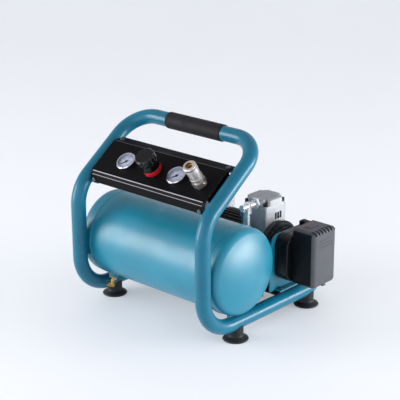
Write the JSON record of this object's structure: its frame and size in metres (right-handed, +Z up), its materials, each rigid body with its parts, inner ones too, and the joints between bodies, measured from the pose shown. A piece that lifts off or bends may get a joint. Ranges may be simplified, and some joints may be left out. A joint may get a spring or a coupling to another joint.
{
  "type": "air compressor",
  "caption": "Portable battery air compressor: cylindrical tank in a bent tube roll cage with rubber feet, sloped control panel, finned pump and motor, slide-on battery pack.",
  "frame": {"origin": "on the floor under the middle of the overall outline", "axes": "+X along the tank to the battery end, +Y to the rear where the pump is, +Z up"},
  "size_m": [0.4124, 0.378, 0.3691],
  "materials": {
    "frame_paint": "gloss teal powder coat on steel tube",
    "tank_paint": "gloss teal paint on rolled steel",
    "pilot_paint": "teal coated steel line with a blue-grey nut",
    "grip_rubber": "matte moulded grip",
    "foot_rubber": "matte moulded rubber",
    "black_sheet": "black coated folded sheet",
    "screw_steel": "zinc plated",
    "black_steel": "black oxide",
    "manifold_metal": "extruded bar",
    "plated_steel": "bright plated",
    "brass": "machined brass",
    "bezel_chrome": "bright pressed steel",
    "dial_white": "printed dial",
    "gauge_glass": "clear window",
    "pointer_black": "black",
    "red_plastic": "moulded",
    "knob_plastic": "moulded with worn edges",
    "coupler_nickel": "nickel plated",
    "motor_black": "black coated cast fins",
    "stator_steel": "laminated steel",
    "shaft_steel": "ground steel",
    "cast_alloy": "die cast",
    "fan_plastic": "moulded",
    "dock_plastic": "moulded",
    "battery_black": "moulded, with a soft sheen"
  },
  "bodies": {
    "frame": {"base_isolators": "foot_rubber", "base_plate": "black_sheet", "battery_holder": "dock_plastic", "check_valves": "brass", "control_panel": "black_sheet", "coupler_body": "coupler_nickel", "discharge_fittings": "plated_steel", "discharge_tubes": "plated_steel", "drain_valve": "brass", "end_bracket": "tank_paint", "end_cover_left": "black_sheet", "fan_shroud": "fan_plastic", "foot_front_left": "foot_rubber", "foot_front_right": "foot_rubber", "foot_rear_left": "foot_rubber", "foot_rear_right": "foot_rubber", "gauge_left_case": "bezel_chrome", "gauge_left_dial": "dial_white", "gauge_left_lens": "gauge_glass", "gauge_right_case": "bezel_chrome", "gauge_right_dial": "dial_white", "gauge_right_lens": "gauge_glass", "handle_grip": "grip_rubber", "handle_tube": "frame_paint", "head_bolts": "black_steel", "machine_screws": "screw_steel", "manifold": "manifold_metal", "motor_housing": "motor_black", "motor_stator": "stator_steel", "pilot_tube": "pilot_paint", "pump_block_left": "cast_alloy", "pump_block_right": "cast_alloy", "pump_head_left": "cast_alloy", "pump_head_right": "cast_alloy", "rear_tube": "frame_paint", "regulator_body": "brass", "relief_valve": "brass", "side_tube_left": "frame_paint", "side_tube_right": "frame_paint", "supply_pipe": "plated_steel", "switch_housing": "dock_plastic", "tank_head_left": "tank_paint", "tank_head_right": "tank_paint", "tank_saddles": "frame_paint", "tank_shell": "tank_paint"},
    "lock_ring": {"regulator_lock_ring": "red_plastic"},
    "knob": {"regulator_knob": "knob_plastic"},
    "sleeve": {"coupler_sleeve": "coupler_nickel"},
    "relief_pull": {"relief_ring": "screw_steel"},
    "drain_cock": {"drain_wing": "brass"},
    "needle_left": {"gauge_left_pointer": "pointer_black"},
    "needle_right": {"gauge_right_pointer": "pointer_black"},
    "rotor": {"rotor_shaft": "shaft_steel", "fan": "fan_plastic"},
    "piston_right": {"piston_right": "cast_alloy"},
    "piston_left": {"piston_left": "cast_alloy"},
    "battery": {"battery_pack": "battery_black"},
    "release_button": {"battery_button": "battery_black"},
    "rocker": {"switch_rocker": "dock_plastic"}
  },
  "joints": [
    {"name": "knob_turn", "type": "hinge", "parent": "frame", "child": "lock_ring", "pos_m": [-0.0218, -0.12873, 0.2971], "axis": [0, -0.5878, 0.809], "range_deg": [-720, 720]},
    {"name": "knob_lock", "type": "slide", "parent": "lock_ring", "child": "knob", "axis": [0, -0.5878, 0.809], "range_m": [-0.003, 0]},
    {"name": "sleeve_slide", "type": "slide", "parent": "frame", "child": "sleeve", "axis": [0, -0.5878, 0.809], "range_m": [-0.005, 0], "stiffness_N_per_m": 2000, "springref_m": 0.002},
    {"name": "relief_pull_slide", "type": "slide", "parent": "frame", "child": "relief_pull", "axis": [-1, 0, 0], "range_m": [0, 0.003], "stiffness_N_per_m": 3000, "springref_m": -0.002},
    {"name": "drain_turn", "type": "hinge", "parent": "frame", "child": "drain_cock", "pos_m": [-0.1478, -0.11805, 0.0413], "axis": [0, -0.4067, -0.9135], "range_deg": [0, 270]},
    {"name": "needle_left_turn", "type": "hinge", "parent": "frame", "child": "needle_left", "pos_m": [-0.0898, -0.12814, 0.29629], "axis": [0, -0.5878, 0.809], "range_deg": [-270, 0], "stiffness_Nm_per_rad": 0.0005, "springref_deg": 5.73},
    {"name": "needle_right_turn", "type": "hinge", "parent": "frame", "child": "needle_right", "pos_m": [0.0362, -0.12814, 0.29629], "axis": [0, -0.5878, 0.809], "range_deg": [-270, 0], "stiffness_Nm_per_rad": 0.0005, "springref_deg": 5.73},
    {"name": "motor_spin", "type": "hinge", "parent": "frame", "child": "rotor", "pos_m": [-0.0008, 0.084, 0.115], "axis": [1, 0, 0], "continuous": true},
    {"name": "piston_right_slide", "type": "slide", "parent": "frame", "child": "piston_right", "axis": [0, 0, 1], "range_m": [-0.0045, 0.0045]},
    {"name": "piston_left_slide", "type": "slide", "parent": "frame", "child": "piston_left", "axis": [0, 0, 1], "range_m": [-0.0045, 0.0045]},
    {"name": "battery_slide", "type": "slide", "parent": "frame", "child": "battery", "axis": [0, 0, 1], "range_m": [0, 0.08]},
    {"name": "release_press", "type": "slide", "parent": "battery", "child": "release_button", "axis": [0, 0, 1], "range_m": [-0.003, 0], "stiffness_N_per_m": 800, "springref_m": 0.001},
    {"name": "rocker_tilt", "type": "hinge", "parent": "frame", "child": "rocker", "pos_m": [0.1437, 0.106, 0.1715], "axis": [0, 1, 0], "range_deg": [-16, 0]}
  ],
  "couplings": [
    {"joint": "piston_left_slide", "follows": "piston_right_slide", "ratio": -1}
  ]
}
